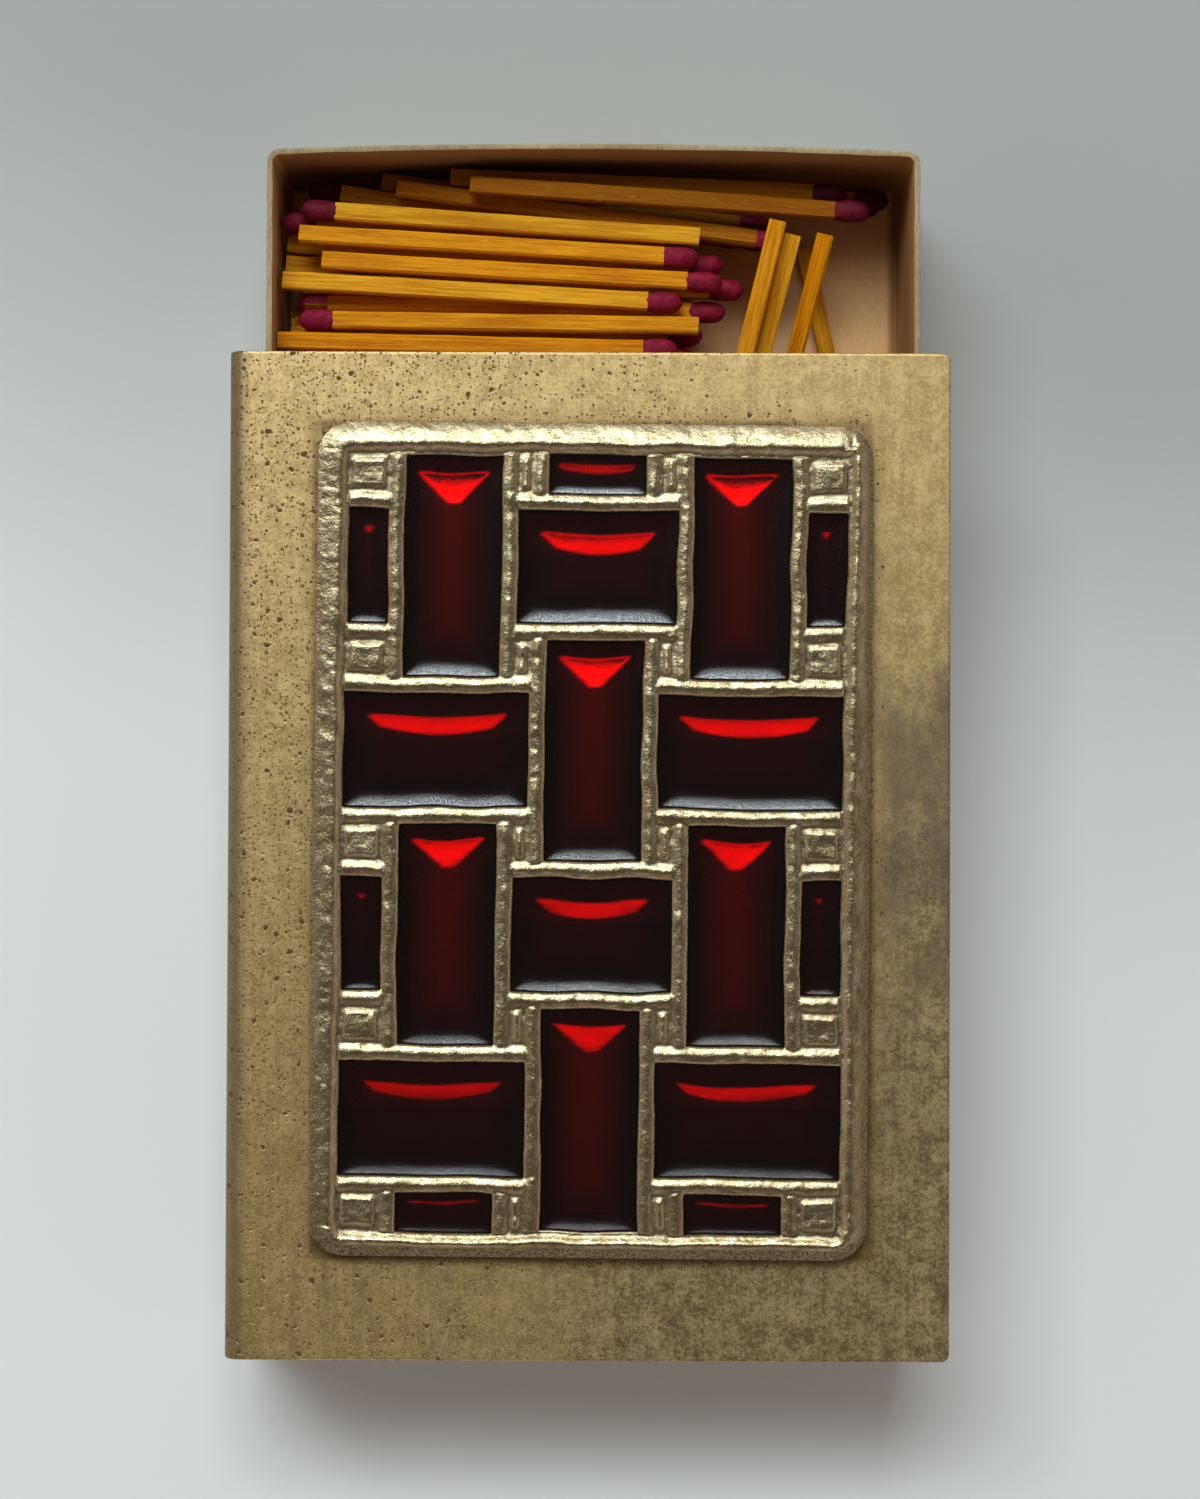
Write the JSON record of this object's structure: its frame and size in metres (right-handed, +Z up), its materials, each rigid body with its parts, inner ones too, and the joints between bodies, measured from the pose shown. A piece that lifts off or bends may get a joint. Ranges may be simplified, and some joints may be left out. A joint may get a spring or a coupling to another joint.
{
  "type": "matchbox holder",
  "caption": "Pale brass sheet bent round a large cardboard matchbox and open on one long side, with a cast basket-weave plaque of red enamelled cells; the tray of loose matches slides.",
  "frame": {"origin": "middle of the back plate's underside, which rests on the table", "axes": "+Z up from the back plate to the plaque, +Y along the matchbox towards the end where the tray is pulled out, +X towards the open long side"},
  "size_m": [0.0768, 0.1298, 0.0251],
  "materials": {
    "gilt_sheet": "brushed pale gilt brass sheet, pitted and a little tarnished",
    "cast_plaque": "cast pale brass, worn bright on its high places",
    "red_enamel": "glossy translucent dark red over a metal floor",
    "sleeve_card": "matt pale card",
    "striking_paste": "rough dark brown coating",
    "tray_card": "matt tan board with a pale cut edge",
    "match_wood": "split softwood, amber, with grain",
    "match_head": "dull burgundy dipped compound"
  },
  "bodies": {
    "holder": {"holder_shell": "gilt_sheet", "weave_plaque": "cast_plaque", "enamel_cell_01": "red_enamel", "enamel_cell_02": "red_enamel", "enamel_cell_03": "red_enamel", "enamel_cell_04": "red_enamel", "enamel_cell_05": "red_enamel", "enamel_cell_06": "red_enamel", "enamel_cell_07": "red_enamel", "enamel_cell_08": "red_enamel", "enamel_cell_09": "red_enamel", "enamel_cell_10": "red_enamel", "enamel_cell_11": "red_enamel", "enamel_cell_12": "red_enamel", "enamel_cell_13": "red_enamel", "enamel_cell_14": "red_enamel", "enamel_cell_15": "red_enamel", "enamel_cell_16": "red_enamel", "enamel_cell_17": "red_enamel", "enamel_cell_18": "red_enamel", "enamel_cell_19": "red_enamel"},
    "matchbox": {"matchbox_sleeve": "sleeve_card", "open_side_striker": "striking_paste", "spine_side_striker": "striking_paste"},
    "tray": {"matchbox_tray": "tray_card", "lower_match_sticks": "match_wood", "middle_match_sticks": "match_wood", "upper_match_sticks": "match_wood", "lengthwise_match_sticks": "match_wood", "lower_match_heads": "match_head", "middle_match_heads": "match_head", "upper_match_heads": "match_head", "lengthwise_match_heads": "match_head"}
  },
  "joints": [
    {"name": "matchbox_slide", "type": "slide", "parent": "holder", "child": "matchbox", "axis": [0, 1, 0], "range_m": [-0.085, 0.085]},
    {"name": "tray_slide", "type": "slide", "parent": "matchbox", "child": "tray", "axis": [0, 1, 0], "range_m": [-0.103, 0.06]}
  ]
}
